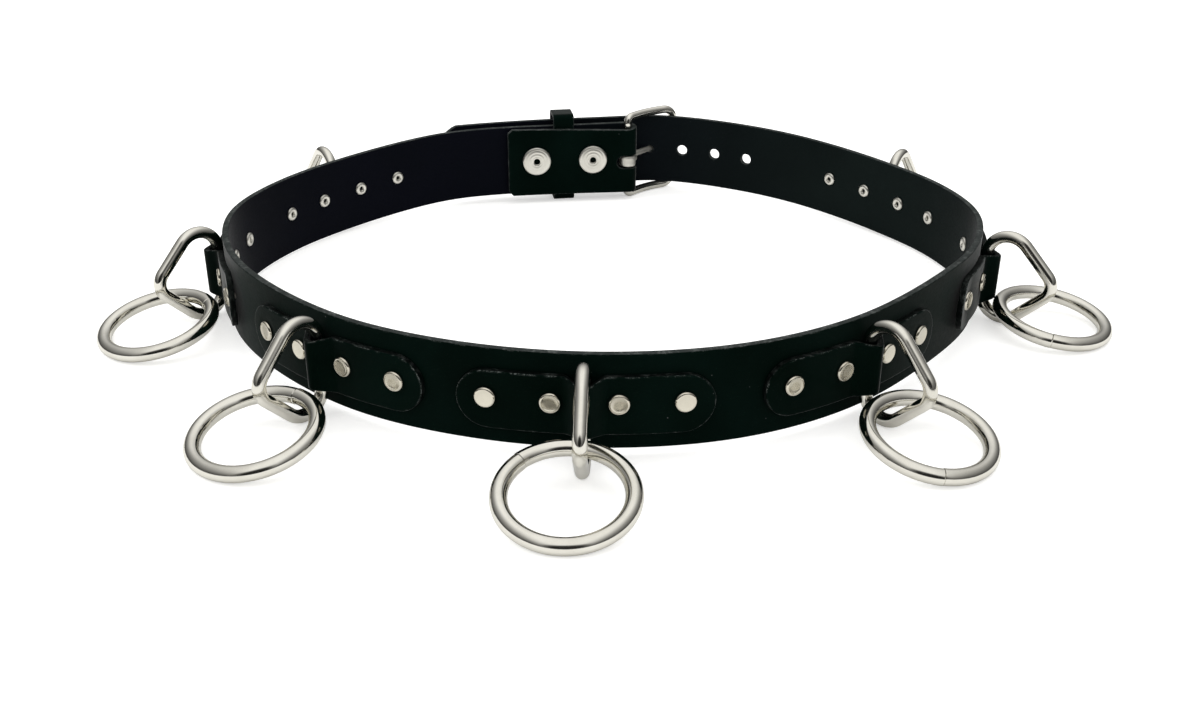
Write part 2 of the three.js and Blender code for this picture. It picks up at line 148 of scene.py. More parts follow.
LINE = softened(at_lengths(GRID, RAW_AT, RAW))
ALONG = np.gradient(LINE, axis=0)
ALONG[:, 2] = 0
ALONG = unit(ALONG)


def on_route(distance):
    """Middle line at the height of the strap's lower edge, along it, and out of it."""
    distance = np.asarray(distance, float)
    point = at_lengths(distance, GRID, LINE)
    along = unit(at_lengths(distance, GRID, ALONG))
    out = np.stack([-along[..., 1], along[..., 0], 0 * along[..., 0]], -1)
    return point, along, out


FOLD_RADIUS = FRAME["wire"] / 2 + GAP + THICK / 2
BEND = math.pi * FOLD_RADIUS
WHOLE = LENGTH + BEND + FOLD_LENGTH
HEEL, _, HEEL_OUT = on_route(LENGTH)
BAR = HEEL - HEEL_OUT * FOLD_RADIUS


def fold_offset(from_bar):
    """How far the middle line of the folded end lies inside that of the strap beside it."""
    share = np.clip(from_bar / FOLD_LENGTH, 0, 1)
    return 2 * FOLD_RADIUS + (THICK + FOLD_END_GAP - 2 * FOLD_RADIUS) * share


def on_strap(distance):
    """Middle line and the way out of it, carried on round the heel bar and back inside."""
    distance = np.asarray(distance, float)
    point, _, out = on_route(np.minimum(distance, LENGTH))
    turn = np.clip((distance - LENGTH) / FOLD_RADIUS, 0, math.pi)
    x, y, _ = HEEL_OUT
    c, s = np.cos(turn), np.sin(turn)
    turned = np.stack([c * x + s * y, c * y - s * x, 0 * turn], -1)
    past = (distance > LENGTH)[..., None]
    point = np.where(past, BAR + turned * FOLD_RADIUS, point)
    out = np.where(past, turned, out)
    from_bar = distance - LENGTH - BEND
    beside, _, side = on_route(LENGTH - np.maximum(from_bar, 0))
    back = beside - side * fold_offset(from_bar)[..., None]
    back[..., 2] = HEEL[2]
    folded = (from_bar >= 0)[..., None]
    return np.where(folded, back, point), np.where(folded, -side, out)


EVEN_AT = np.linspace(0, LENGTH, FRONT_POINTS)
EVEN = at_lengths(EVEN_AT, RAW_AT, RAW)
FRONT_AT = EVEN_AT[np.argmin(np.hypot(*(EVEN[:, :2] - FRONT).T))]


def basis(distance, height, outwards, absolute=False):
    """Origin and axes (along, out, up) at a place on the strap."""
    point, along, out = on_route(distance)
    origin = point + out * outwards
    origin[2] = height if absolute else point[2] + height
    return origin, np.stack([along, out, UP])


def placed(local, place):
    """Points given along a place's own axes, in the belt's plan."""
    origin, axes = place
    return origin + np.asarray(local) @ axes


# Meshes

# Merge distances: metres in a finished mesh, millimetres in a scratch one
MERGE, DEGENERATE = 1e-7, 1e-8
SCRATCH_MERGE = 1e-4
# Which leather a face shows
ON_GRAIN, ON_FLESH, ON_CUT = range(3)


def linked(name, data):
    obj = bpy.data.objects.new(name, data)
    bpy.context.scene.collection.objects.link(obj)
    return obj


def make(name, points, faces, materials, kinds=None, sharp=40):
    """A mesh object from points in millimetres, smooth but for edges over sharp degrees.
    Kinds says which of the materials each face has."""
    mesh = bpy.data.meshes.new(name)
    mesh.from_pydata(((np.asarray(points) + SHIFT) * MM).tolist(), [], faces)
    for material in materials:
        mesh.materials.append(material)
    if kinds is not None:
        mesh.polygons.foreach_set("material_index", kinds)
    bm = bmesh.new()
    bm.from_mesh(mesh)
    bmesh.ops.remove_doubles(bm, verts=bm.verts, dist=MERGE)
    bmesh.ops.dissolve_degenerate(bm, edges=bm.edges, dist=DEGENERATE)
    bmesh.ops.recalc_face_normals(bm, faces=bm.faces)
    if bm.calc_volume(signed=True) < 0:
        bmesh.ops.reverse_faces(bm, faces=bm.faces)
    finish_faces(bm, sharp)
    bm.to_mesh(mesh)
    bm.free()
    return linked(name, mesh)


def finish_faces(bm, sharp):
    limit = math.radians(sharp)
    for face in bm.faces:
        face.smooth = True
    for edge in bm.edges:
        edge.smooth = edge.calc_face_angle(0) < limit


def dress(obj, slot, *nodes):
    """Puts a piece in the root body and hides its CAD nodes; the slot is not used."""
    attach(obj, "root")
    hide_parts(*nodes)


def grid_faces(rows, columns, close_rows=True):
    """Faces of a grid of closed rows, of which the last can join the first."""
    faces = []
    for i in range(rows if close_rows else rows - 1):
        for j in range(columns):
            k, m = (i + 1) % rows, (j + 1) % columns
            faces.append((i * columns + j, k * columns + j, k * columns + m, i * columns + m))
    return faces


def tube_faces(rows, columns):
    """Faces of a run of sections, closed at both ends."""
    last = (rows - 1) * columns
    ends = [tuple(range(columns))[::-1], tuple(range(last, last + columns))]
    return grid_faces(rows, columns, close_rows=False) + ends


def ring_of(sides):
    """Cosines and sines of even angles round a circle."""
    angle = np.arange(sides) * 2 * math.pi / sides
    return np.cos(angle), np.sin(angle)


def skin(line, first, second, radii, sides):
    """Points of round sections along a line, each in the plane of first and second."""
    c, s = (x[None, :, None] for x in ring_of(sides))
    r = np.broadcast_to(radii, len(line))[:, None, None]
    around = c * first[:, None] + s * second[:, None]
    return (line[:, None] + r * around).reshape(-1, 3)


def wire_loop(path, side, radii, sides):
    """Closed wire along a path, each section in the plane of side and the path's normal."""
    ahead = unit(np.roll(path, -1, 0) - np.roll(path, 1, 0))
    normal = unit(np.cross(side, ahead))
    points = skin(path, normal, np.cross(ahead, normal), radii, sides)
    return points, grid_faces(len(path), sides)


def lathe(profile, sides):
    """Solid turned about local y from rows of (radius, height)."""
    c, s = ring_of(sides)
    points = [(r * a, h, r * b) for r, h in profile for a, b in zip(c, s)]
    return np.array(points), grid_faces(len(profile), sides, close_rows=False)


def rounded_path(x0, x1, y0, y1, radius, arc_steps, straight_step, far_radius=None):
    """Closed rounded rectangle, as points and outward normals. The two corners at x1 have
    the far radius."""
    points, normals = [], []
    near, far = radius, far_radius or radius
    for x, y, start, r in ((x1, y1, 0, far), (x0, y1, 90, near),
                           (x0, y0, 180, near), (x1, y0, 270, far)):
        cx = x - r if x == x1 else x + r
        cy = y - r if y == y1 else y + r
        for k in range(arc_steps + 1):
            angle = math.radians(start + 90 * k / arc_steps)
            normals.append((math.cos(angle), math.sin(angle)))
            points.append((cx + r * normals[-1][0], cy + r * normals[-1][1]))
    full_points, full_normals = [], []
    for i, (p, n) in enumerate(zip(points, normals)):
        q, m = points[(i + 1) % len(points)], normals[(i + 1) % len(points)]
        gap = math.dist(p, q)
        steps = max(1, round(gap / straight_step)) if n == m or gap > straight_step else 1
        for k in range(steps):
            full_points.append([a + (b - a) * k / steps for a, b in zip(p, q)])
            full_normals.append([a + (b - a) * k / steps for a, b in zip(n, m)])
    return np.array(full_points), np.array(full_normals)


def scratch_object(name, points, faces):
    """An object in millimetres for modifiers to work on."""
    mesh = bpy.data.meshes.new(name)
    mesh.from_pydata(np.asarray(points).tolist(), [], faces)
    bm = bmesh.new()
    bm.from_mesh(mesh)
    bmesh.ops.remove_doubles(bm, verts=bm.verts, dist=SCRATCH_MERGE)
    bmesh.ops.recalc_face_normals(bm, faces=bm.faces)
    bm.to_mesh(mesh)
    bm.free()
    return linked(name, mesh)


def worked_out(obj):
    """Points, faces and face normals of an object once its modifiers have run."""
    graph = bpy.context.evaluated_depsgraph_get()
    done = bpy.data.meshes.new_from_object(obj.evaluated_get(graph))
    points = np.array([v.co for v in done.vertices])
    faces = [tuple(p.vertices) for p in done.polygons]
    normals = np.array([p.normal for p in done.polygons])
    bpy.data.meshes.remove(done)
    return points, faces, normals


def discard(*objects):
    for obj in objects:
        mesh = obj.data
        bpy.data.objects.remove(obj)
        bpy.data.meshes.remove(mesh)


def joined(parts):
    """One list of points and one of faces from those of several parts."""
    points, faces, start = [], [], 0
    for p, f in parts:
        points.append(np.asarray(p))
        faces += [tuple(start + i for i in face) for face in f]
        start += len(p)
    return np.concatenate(points), faces


def carved(points, faces, cutters):
    """Points, faces and face normals of a solid after the cutters are taken away."""
    body = scratch_object("flat", points, faces)
    tool = scratch_object("tool", *joined(cutters))
    cut = body.modifiers.new("cut", "BOOLEAN")
    cut.operation, cut.solver, cut.object = "DIFFERENCE", "EXACT", tool
    result = worked_out(body)
    discard(body, tool)
    return result


# Materials

# Colour inputs and output of a Mix node
MIX_A, MIX_B, MIX_RESULT = 6, 7, 2


class Nodes:
    """A node tree built up by name."""

    def __init__(self, tree):
        self.tree = tree

    def set(self, node, inputs):
        for key, value in inputs.items():
            if isinstance(value, bpy.types.NodeSocket):
                self.tree.links.new(value, node.inputs[key])
            else:
                node.inputs[key].default_value = value

    def node(self, kind, inputs, **settings):
        node = self.tree.nodes.new("ShaderNode" + kind)
        for key, value in settings.items():
            setattr(node, key, value)
        self.set(node, inputs)
        return node

    def remap(self, value, low, high, to_low=0.0, to_high=1.0, **settings):
        inputs = {"Value": value, "From Min": low, "From Max": high,
                  "To Min": to_low, "To Max": to_high}
        return self.node("MapRange", inputs, **settings).outputs[0]

    def math(self, operation, *values):
        return self.node("Math", dict(enumerate(values)), operation=operation).outputs[0]


class Shader(Nodes):
    """A node material, with the patterns that leather and metal are made of."""

    def __init__(self, name):
        self.material = bpy.data.materials.new(name)
        self.material.use_nodes = True
        super().__init__(self.material.node_tree)
        self.surface = self.tree.nodes["Principled BSDF"]
        self.where = self.node("TexCoord", {}).outputs["Object"]

    def noise(self, scale, detail, stretch=None, roughness=0.5):
        where = self.where
        if stretch:
            where = self.node("Mapping", {"Vector": where, "Scale": stretch}).outputs[0]
        inputs = {"Vector": where, "Scale": scale, "Detail": detail, "Roughness": roughness}
        return self.node("TexNoise", inputs).outputs["Fac"]

    def cells(self, scale, feature="F1"):
        inputs = {"Vector": self.where, "Scale": scale}
        return self.node("TexVoronoi", inputs, feature=feature).outputs["Distance"]

    def times(self, a, b):
        return self.math("MULTIPLY", a, b)

    def mix(self, share, a, b):
        """Colour between a and b, each of them a socket or three numbers."""
        a, b = (c if isinstance(c, bpy.types.NodeSocket) else (*c, 1) for c in (a, b))
        inputs = {"Factor": share, MIX_A: a, MIX_B: b}
        return self.node("Mix", inputs, data_type="RGBA").outputs[MIX_RESULT]

    def bump(self, height, strength, distance, under=None):
        inputs = {"Height": height, "Strength": strength, "Distance": distance}
        if under:
            inputs["Normal"] = under
        return self.node("Bump", inputs).outputs[0]

    def attribute(self, name):
        return self.node("Attribute", {}, attribute_name=name).outputs["Fac"]

    def finish(self, **inputs):
        """Sets the surface's inputs, with _ for each space in their names."""
        self.set(self.surface, {key.replace("_", " "): value for key, value in inputs.items()})
        return self.material


RIM_FIBRE, SPECK = (0.15, 0.165, 0.158), (0.2, 0.2, 0.2)
# The inner face's right-hand colour is paler as painted light falling on that side.
FLESH_LEFT, FLESH_RIGHT_PAINTED_LIGHT = (0.0022, 0.0027, 0.0062), (0.0052, 0.0090, 0.0084)
FLESH_DEEP, FLESH_FIBRE = (0.0010, 0.0018, 0.0022), (0.10, 0.105, 0.11)
# Painted shade: near-black colours for the inside of pressed holes.
HOLE_SHADE_DARK, HOLE_SHADE_LIGHT = (0.004, 0.004, 0.004), (0.02, 0.018, 0.015)


def grain_leather(name, dark, light, rough, fringe):
    """Finished face of the leather: fine pores, faint rubs, and a fibrous line at its rim."""
    sh = Shader(name)
    cloud = sh.noise(26, 4)
    colour = sh.mix(sh.remap(cloud, 0.35, 0.7), dark, light)
    dashes = sh.times(sh.remap(sh.noise(2300, 3), 0.47, 0.60),
                      sh.remap(sh.noise(330, 3), 0.46, 0.62))
    fibres = sh.times(sh.remap(sh.attribute("rim"), 0.16, 0.75), dashes)
    colour = sh.mix(sh.times(fibres, fringe), colour, RIM_FIBRE)
    specks = sh.remap(sh.cells(95), 0.030, 0.018)
    colour = sh.mix(sh.times(specks, 0.3), colour, SPECK)
    rubs = sh.noise(240, 3, stretch=(1, 1, 5))
    roughness = sh.remap(sh.math("ADD", rubs, cloud), 0.7, 1.35, rough - 0.07, rough + 0.10)
    roughness = sh.math("ADD", roughness, sh.times(fibres, 0.3))
    pores = sh.bump(sh.cells(1250, "SMOOTH_F1"), 0.18, 0.00012)
    creases = sh.bump(sh.noise(420, 4, roughness=0.6), 0.16, 0.00025, pores)
    swell = sh.bump(sh.noise(38, 2), 0.12, 0.0016, creases)
    return sh.finish(Base_Color=colour, Roughness=roughness, Specular_IOR_Level=0.008,
                     Sheen_Weight=0.24, Sheen_Roughness=0.28, Normal=swell)


def flesh_leather(name):
    """Inner face: tight dyed fibre, navy on the left and greener on the right, and paler there as
    painted light falling on that side.
    """
    sh = Shader(name)
    across = sh.node("SeparateXYZ", {0: sh.where}).outputs[0]
    cloud = sh.noise(20, 4)
    # Painted light: the colour turns paler towards the right, standing in for light on that side.
    share = sh.remap(sh.math("ADD", across, sh.times(cloud, 0.05)), -0.03, 0.14)
    hue_and_painted_light = sh.mix(share, FLESH_LEFT, FLESH_RIGHT_PAINTED_LIGHT)
    colour = sh.mix(sh.remap(cloud, 0.3, 0.72, 0, 0.45), hue_and_painted_light, FLESH_DEEP)
    fibres = sh.times(sh.remap(sh.attribute("rim"), 0.2, 0.8),
                      sh.remap(sh.noise(1500, 4), 0.5, 0.7))
    colour = sh.mix(sh.times(fibres, 0.4), colour, FLESH_FIBRE)
    nap = sh.noise(900, 5, roughness=0.65)
    roughness = sh.remap(nap, 0.3, 0.7, 0.50, 0.68)
    bump = sh.bump(nap, 0.24, 0.0002)
    bump = sh.bump(sh.noise(60, 3), 0.10, 0.0012, bump)
    return sh.finish(Base_Color=colour, Roughness=roughness, Specular_IOR_Level=0.03,
                     Sheen_Weight=0.09, Sheen_Roughness=0.32, Normal=bump)


def cut_leather(name, paint, fibre):
    """Cut edge: pressed layers of fibre under worn edge paint."""
    sh = Shader(name)
    layers = sh.noise(700, 4, stretch=(1, 1, 0.35))
    worn = sh.times(sh.remap(layers, 0.44, 0.70), sh.remap(sh.noise(190, 3), 0.40, 0.62))
    colour = sh.mix(worn, paint, fibre)
    roughness = sh.remap(layers, 0.3, 0.7, 0.40, 0.72)
    bump = sh.bump(layers, 0.35, 0.0003)
    return sh.finish(Base_Color=colour, Roughness=roughness, Specular_IOR_Level=0.06, Normal=bump)


def polished_nickel(name, rough, uneven, bright=(0.80, 0.782, 0.715), dull=(0.70, 0.68, 0.61)):
    """Bright plating with a warm tint, hazy where it has been handled."""
    sh = Shader(name)
    haze = sh.noise(70, 5, roughness=0.6)
    colour = sh.mix(sh.remap(haze, 0.3, 0.75), bright, dull)
    roughness = sh.remap(haze, 0.35, 0.75, rough, rough + 0.10)
    bump = sh.bump(sh.noise(650, 3), uneven, 0.0001)
    bump = sh.bump(sh.noise(130, 2), uneven, 0.0004, bump)
    return sh.finish(Base_Color=colour, Metallic=1.0, Roughness=roughness, Normal=bump)


def painted_hole_shade(name):
    """Near-black inside of a pressed hole: painted shade for its depth."""
    sh = Shader(name)
    colour = sh.mix(sh.remap(sh.noise(900, 3), 0.35, 0.7), HOLE_SHADE_DARK, HOLE_SHADE_LIGHT)
    bump = sh.bump(sh.noise(1400, 3), 0.3, 0.0002)
    roughness = sh.remap(sh.noise(500, 2), 0.3, 0.7, 0.5, 0.8)
    return sh.finish(Base_Color=colour, Roughness=roughness, Normal=bump)


STRAP_GRAIN = grain_leather("strap_grain", (0.0004, 0.0030, 0.0020), (0.0013, 0.0056, 0.0041),
                            rough=0.38, fringe=0.45)
PATCH_GRAIN = grain_leather("patch_grain", (0.0004, 0.0028, 0.0018), (0.0012, 0.0052, 0.0037),
                            rough=0.34, fringe=0.75)
FLESH = flesh_leather("strap_flesh")
CUT = cut_leather("strap_edge", (0.020, 0.024, 0.023), (0.090, 0.097, 0.094))
PATCH_CUT = cut_leather("patch_edge", (0.0012, 0.0024, 0.0020), (0.030, 0.035, 0.033))
NICKEL = polished_nickel("nickel_rings", rough=0.065, uneven=0.05)
NICKEL_SMALL = polished_nickel("nickel_caps", rough=0.12, uneven=0.03,
                               bright=(0.71, 0.675, 0.57), dull=(0.61, 0.575, 0.48))
NICKEL_HAZY = polished_nickel("nickel_pressed", rough=0.27, uneven=0.04)
NICKEL_SATIN = polished_nickel("nickel_prong", rough=0.42, uneven=0.04)
# Painted shade for the insides of the rivet and snap holes.
HOLE_SHADE = painted_hole_shade("fastener_hole_painted_shade")


# Strap

# Cross-sections: shares of TIP_LENGTH and of CORNER_CUT, and how many lie in between
TIP_SHARES = (0, 0.004, 0.012, 0.026, 0.05, 0.09, 0.14, 0.2, 0.28, 0.37, 0.48, 0.6, 0.73, 0.87)
END_SHARES = (0.8, 0.6, 0.4, 0.2, 0.12, 0.06, 0.02, 0)
BODY_SECTIONS, BEND_SECTIONS, FLAP_SECTIONS = 420, 22, 30
# Radius of the leather's rounded edges, and the most of half its thickness that it takes
EDGE_ROUND, ROUND_LIMIT, ARC_POINTS = 0.55, 0.9, 5
# Rows of points on a face: the two next to each edge, and those spread from edge to edge
RIM_ROWS, FACE_ROWS = (0.35, 1.0), 13
# How far in from an edge its fibrous line fades
RIM = 0.4
# How far the cutters reach from the strap's middle and how much they flare out there, and
# the depth and width of the softened rims that they leave
CUTTER_REACH, CUTTER_FLARE = 4, 1.6
RIM_DEPTH, HOLE_RIM, SLOT_RIM = 0.4, 0.32, 0.3
HOLE_SIDES, SLOT_STEPS = 40, 16
# Depth, radius and spread of the ring-shaped dip round a snap and round a rivet
SNAP_DIP, RIVET_DIP = (0.35, 8.2, 2.2), (0.22, 4.3, 1.5)
# A polygon lies on a face, and not on an edge, above this outward part of its normal
FACE_LIMIT = 0.8


def tip_half_width(from_tip):
    back = np.clip(1 - from_tip / TIP_LENGTH, 0, 1)
    return TIP_END / 2 + (WIDTH - TIP_END) / 2 * (1 - back**TIP_CURVE)


def strap_half_width(distance):
    cut = np.maximum(0, CORNER_CUT - (WHOLE - distance))
    return np.minimum(tip_half_width(distance), WIDTH / 2 - cut)


def fold_trim(distance):
    """How much lower than the strap's the upper edge of its folded end is."""
    past = np.asarray(distance, float) - LENGTH
    bend = TRIM_AT_BAR * np.clip(past / BEND, 0, 1)
    share = np.clip((past - BEND) / FOLD_LENGTH, 0, 1)
    return bend + (TRIM_AT_END - TRIM_AT_BAR) * share


def strap_sections():
    """Places of the cross-sections along the strap."""
    tip = TIP_LENGTH * np.array(TIP_SHARES)
    body = np.linspace(TIP_LENGTH, LENGTH, BODY_SECTIONS)
    bend = LENGTH + BEND * np.arange(1, BEND_SECTIONS + 1) / BEND_SECTIONS
    flap = LENGTH + BEND + np.linspace(0, FOLD_LENGTH - CORNER_CUT, FLAP_SECTIONS)[1:]
    end = WHOLE - CORNER_CUT * np.array(END_SHARES)
    return np.concatenate([tip, body, bend, flap, end])


def strap_ring(distance):
    """One cross-section, as rows of (distance, out, up)."""
    from_end = min(distance, WHOLE - distance)
    back = max(0.0, EDGE_ROUND - from_end)
    inset = EDGE_ROUND - math.sqrt(max(0.0, EDGE_ROUND**2 - back**2))
    half = float(strap_half_width(distance)) - inset
    trim = float(fold_trim(distance))
    thick = THICK / 2 - inset
    r = min(EDGE_ROUND, ROUND_LIMIT * thick)
    arc = np.radians(np.linspace(0, 90, ARC_POINTS))
    high, low = half - trim - r, r - half
    near, far = RIM_ROWS
    between = np.linspace(low, high, FACE_ROWS)[1:-1]
    face = np.r_[low + near, low + far, between, high - far, high - near]
    upper = np.stack([thick - r + r * np.cos(arc), high + r * np.sin(arc)], 1)
    lower = upper * (1, -1) + (0, high + low)
    outer = np.stack([np.full(len(face), thick), face], 1)
    mirror = (-1, 1)
    rows = [outer, upper, upper[::-1] * mirror, outer[::-1] * mirror, lower * mirror, lower[::-1]]
    flat = np.concatenate(rows)
    return np.column_stack([np.full(len(flat), distance), flat])


def hole_cutter(distance, radius, stretch):
    """Punched hole with a softened rim, open at both faces."""
    half = THICK / 2
    rows = [(0, -CUTTER_REACH), (radius + CUTTER_FLARE, -CUTTER_REACH),
            (radius + HOLE_RIM, -half), (radius, RIM_DEPTH - half)]
    rows += [(r, -n) for r, n in rows[::-1]]
    points, faces = lathe(rows, HOLE_SIDES)
    return points * (stretch, 1, 1) + (distance, 0, 0), faces


def slot_cutter():
    """Long slot for the prong, round-ended, over the bend of the strap."""
    half, radius = THICK / 2, SLOT_WIDTH / 2
    start, stop = LENGTH - SLOT_REACH + radius, LENGTH + BEND + SLOT_REACH - radius
    levels = [(-CUTTER_REACH, CUTTER_FLARE), (-half, SLOT_RIM), (RIM_DEPTH - half, 0)]
    levels += [(-n, grow) for n, grow in levels[::-1]]
    rows = []
    for n, grow in levels:
        reach = radius + grow
        ring = []
        for middle, turn in ((stop, -90), (start, 90)):
            for k in range(SLOT_STEPS + 1):
                angle = math.radians(turn + 180 * k / SLOT_STEPS)
                up = SLOT_HEIGHT - WIDTH / 2 + reach * math.sin(angle)
                ring.append((middle + reach * math.cos(angle), n, up))
        rows.append(ring)
    return np.array(rows).reshape(-1, 3), tube_faces(len(rows), len(rows[0]))


def holes():
    """Where each hole is, its radius and how far it is stretched along the strap."""
    spots = [(PRONG_AT + k * HOLE_PITCH, HOLE_RADIUS, 1) for k in (-3, -2, -1, 1, 2, 3)]
    return spots + [(PRONG_AT, PRONG_HOLE, PRONG_STRETCH)]


def rim_at(away):
    """Strength of the fibrous line at a distance from the nearest edge."""
    return np.exp(-np.maximum(away, 0) / RIM)


def dip(away, depth, radius, spread):
    return depth * np.exp(-((away - radius) / spread) ** 2)


def micrometres(point):
    return tuple(np.round(point * 1000).astype(int))


def set_rim(obj, points, rim):
    """Gives the rim values of the points to the vertices left once doubles are merged."""
    vertices = obj.data.vertices
    if len(vertices) != len(points):
        keys = {micrometres(p + SHIFT): value for p, value in zip(points, rim)}
        rim = [keys.get(micrometres(np.array(v.co) / MM), 0.0) for v in vertices]
    attribute = obj.data.attributes.new("rim", "FLOAT", "POINT")
    attribute.data.foreach_set("value", np.asarray(rim, np.float32))


def strap():
    """Strap carved flat, then laid along its line and round the heel bar."""
    rings = [strap_ring(d) for d in strap_sections()]
    faces = tube_faces(len(rings), len(rings[0]))
    cutters = [hole_cutter(*hole) for hole in holes()] + [slot_cutter()]
    flat, faces, normals = carved(np.concatenate(rings), faces, cutters)

    distance, n, w = flat.T
    half = strap_half_width(distance)
    rim = rim_at(np.minimum(half - fold_trim(distance) - w, half + w))
    for d, radius, stretch in holes():
        rim = np.maximum(rim, rim_at(np.hypot((distance - d) / stretch, w) - radius))
    rim = np.maximum(rim, rim_at(np.minimum(distance, WHOLE - distance)))

    point, out = on_strap(distance)
    press = 0 * n
    for from_bar in SNAPS_FROM_BAR:
        away = np.hypot(distance - (LENGTH + BEND + from_bar), w - (SNAP_HEIGHT - WIDTH / 2))
        press += dip(away, *SNAP_DIP) * (n > 0)
    points = point + out * (n - press)[:, None]
    points[:, 2] = point[:, 2] + WIDTH / 2 + w

    facing = normals[:, 1]
    kinds = np.where(facing > FACE_LIMIT, ON_GRAIN,
                     np.where(facing < -FACE_LIMIT, ON_FLESH, ON_CUT))
    obj = make("strap_look", points, faces, [STRAP_GRAIN, FLESH, CUT], kinds)
    set_rim(obj, points, rim)
    dress(obj, "strap_leather", "strap")


# Patches

# Points of the outline: close together at the bulge, fewer beside it, and on each end
BULGE_SPAN, BULGE_STEP, SIDE_POINTS, END_POINTS = 10, 0.625, 23, 25
# Levels from the middle of the outer face over the rim to the middle of the inner one
OUTER_SHARES = (0, 0.1, 0.2, 0.3, 0.4, 0.5, 0.6, 0.7, 0.8, 0.87)
RIM_INSETS, PATCH_ROUND = (1.1, 0.8), 0.5
INNER_SHARES = (0.95, 0.6, 0.3, 0)
# Depths between which a patch shows its cut edge
GRAIN_TO, FLESH_FROM = 0.12, 0.9
# Gap under a patch, how much lower its rim is, and the curve of a lifted end
SEAT_GAP, RIM_DROP, LIFT_CURVE = 0.06, 0.12, 1.6


def patch_rise(t):
    """Height of the patch's underside where it bulges over the D-ring's bar."""
    wave = BULGE_RISE * (1 + np.cos(math.pi * np.clip(t / BULGE_HALF, -1, 1))) / 2
    return GAP + wave


def end_lift(number, t):
    """The stiff patch runs on straight at the end where the strap bends away from it."""
    along = LIFTED_ENDS.get(number, 0) * t
    share = np.clip((along - LIFT_FROM) / (PATCH["length"] / 2 - LIFT_FROM), 0, 1)
    return END_LIFT * share**LIFT_CURVE


def patch_outline():
    """Outline of a patch and the point of its middle line that each outline point faces."""
    half, end = PATCH["width"] / 2, PATCH["length"] / 2 - PATCH["width"] / 2
    span = BULGE_SPAN
    fine = np.arange(-span, span + 0.01, BULGE_STEP)
    side = np.concatenate([np.linspace(-end, -span, SIDE_POINTS)[:-1], fine,
                           np.linspace(span, end, SIDE_POINTS)[1:]])
    neck = half - PATCH["neck"] * (patch_rise(side) - GAP) / BULGE_RISE
    arc = np.radians(np.linspace(90, -90, END_POINTS)[1:-1])
    right = np.stack([end + half * np.cos(arc), half * np.sin(arc)], 1)
    left = np.stack([-end - half * np.cos(arc), -half * np.sin(arc)], 1)
    outline = np.concatenate([
        np.stack([side, neck], 1), right, np.stack([side[::-1], -neck[::-1]], 1), left])
    middle = np.stack([np.clip(outline[:, 0], -end, end), 0 * outline[:, 0]], 1)
    return outline, middle


def patch_levels():
    """Rows of (share, inset, depth): a share of the way out to the rim or else an inset
    from it, and a depth from the outer face (0) to the inner one (1)."""
    r, thick = PATCH_ROUND, PATCH["thick"]
    arc = np.radians(np.linspace(0, 90, ARC_POINTS))
    rows = [(share, None, 0.0) for share in OUTER_SHARES]
    rows += [(None, inset, 0.0) for inset in RIM_INSETS]
    rows += [(None, r - r * math.sin(a), (r - r * math.cos(a)) / thick) for a in arc]
    rows += [(None, r - r * math.cos(a), 1 - (r - r * math.sin(a)) / thick) for a in arc[:-1]]
    return rows + [(share, None, 1.0) for share in INNER_SHARES]


def patch_kind(start, end):
    """The leather that a band of the patch shows, from the depths of its two levels."""
    if end < GRAIN_TO:
        return ON_GRAIN
    return ON_CUT if start < FLESH_FROM else ON_FLESH


def patch(number, station):
    outline, middle = patch_outline()
    levels = patch_levels()
    reach = np.linalg.norm(outline - middle, axis=1)
    flat, depth, rim = [], [], []
    for share, inset, down in levels:
        part = np.broadcast_to(share if inset is None else 1 - inset / reach, len(outline))
        flat.append(middle + (outline - middle) * part[:, None])
        depth.append(np.full(len(outline), down))
        rim.append(rim_at((1 - part) * reach))
    flat, depth, rim = (np.concatenate(rows) for rows in (flat, depth, rim))
    t, w = flat.T
    rise = patch_rise(t)
    seat = SEAT_GAP + (rise - GAP) / BULGE_RISE * (BULGE_RISE + GAP - SEAT_GAP)
    outer = rise + PATCH["thick"]
    for spot in RIVET_SPOTS:
        away = np.hypot(t - spot, w - (RIVET_HEIGHT - PATCH["height"]))
        outer = outer - dip(away, *RIVET_DIP)
    outer = outer - RIM_DROP * rim
    height = outer + (seat - outer) * depth + end_lift(number, t)
    point, _, out = on_route(FRONT_AT - station[0] + t)
    points = point + out * (THICK / 2 + height)[:, None]
    points[:, 2] = point[:, 2] + PATCH["height"] + w
    faces = grid_faces(len(levels), len(outline), close_rows=False)
    bands = [patch_kind(a[2], b[2]) for a, b in zip(levels, levels[1:])]
    kinds = np.repeat(bands, len(outline))
    leathers = [PATCH_GRAIN, FLESH, PATCH_CUT]
    obj = make(f"ring_patch_{number}_look", points, faces, leathers, kinds, sharp=50)
    set_rim(obj, points, rim)
    dress(obj, "patch_leather", f"ring_patch_{number}")


# Rings

WIRE_SIDES = 28
D_ARC_POINTS, D_STEPS = 60, 168
# Points at the O-ring's butt seam in degrees, how thin the wire is at the four nearest it,
# how far apart its two ends stand, and the angle over which that fades
SEAM_POINTS = (-1.1, -0.7, -0.5, -0.32, -0.16, 0.16, 0.32, 0.5, 0.7, 1.1)
SEAM_RADII, SEAM_STEP, SEAM_FADE = (0.97, 0.84, 0.84, 0.97), 0.26, 40
O_FROM, O_TO, O_POINTS = 2.5, 357.5, 143


